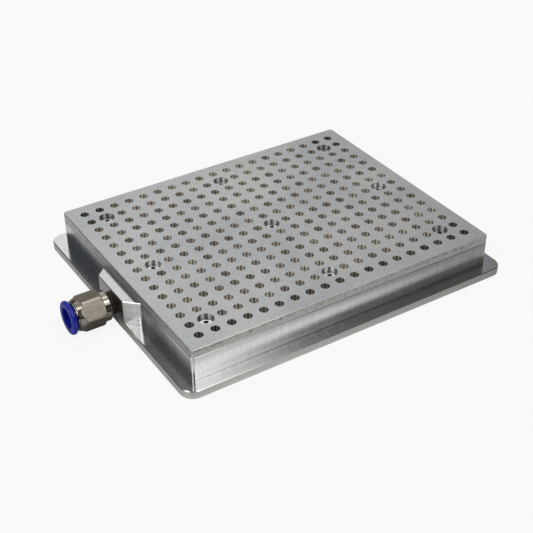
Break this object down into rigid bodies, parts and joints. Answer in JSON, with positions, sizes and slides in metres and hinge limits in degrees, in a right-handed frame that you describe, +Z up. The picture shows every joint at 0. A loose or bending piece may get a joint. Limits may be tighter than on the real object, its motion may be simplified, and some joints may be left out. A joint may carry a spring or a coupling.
{
  "type": "vacuum table",
  "caption": "Rectangular perforated aluminium vacuum table: drilled top plate screwed onto a flanged, hollow base, with a push-in air fitting in a boss on one short side.",
  "frame": {"origin": "on the underside of the base, at the middle of its rectangle", "axes": "+Z up out of the perforated face, +X along the long side, away from the side with the air fitting"},
  "size_m": [0.2432, 0.176, 0.025],
  "materials": {
    "milled_aluminium": "satin milled",
    "plate_aluminium": "matt, fine grained",
    "nitrile_rubber": "matt",
    "screw_steel": "polished",
    "nickel_plated_brass": "bright nickel plate",
    "white_acetal": "moulded",
    "spring_steel": "bright",
    "blue_acetal": "semi-gloss moulded"
  },
  "bodies": {
    "table": {"base_block": "milled_aluminium", "perforated_plate": "plate_aluminium", "plate_seal": "nitrile_rubber", "plate_screws": "screw_steel", "fitting_body": "nickel_plated_brass", "tube_seal": "nitrile_rubber", "seal_support": "white_acetal", "grab_ring": "spring_steel", "collet_guide": "nickel_plated_brass"},
    "push_ring": {"release_ring": "blue_acetal"}
  },
  "joints": [
    {"name": "ring_press", "type": "slide", "parent": "table", "child": "push_ring", "axis": [1, 0, 0], "range_m": [0, 0.0009], "stiffness_N_per_m": 400}
  ]
}
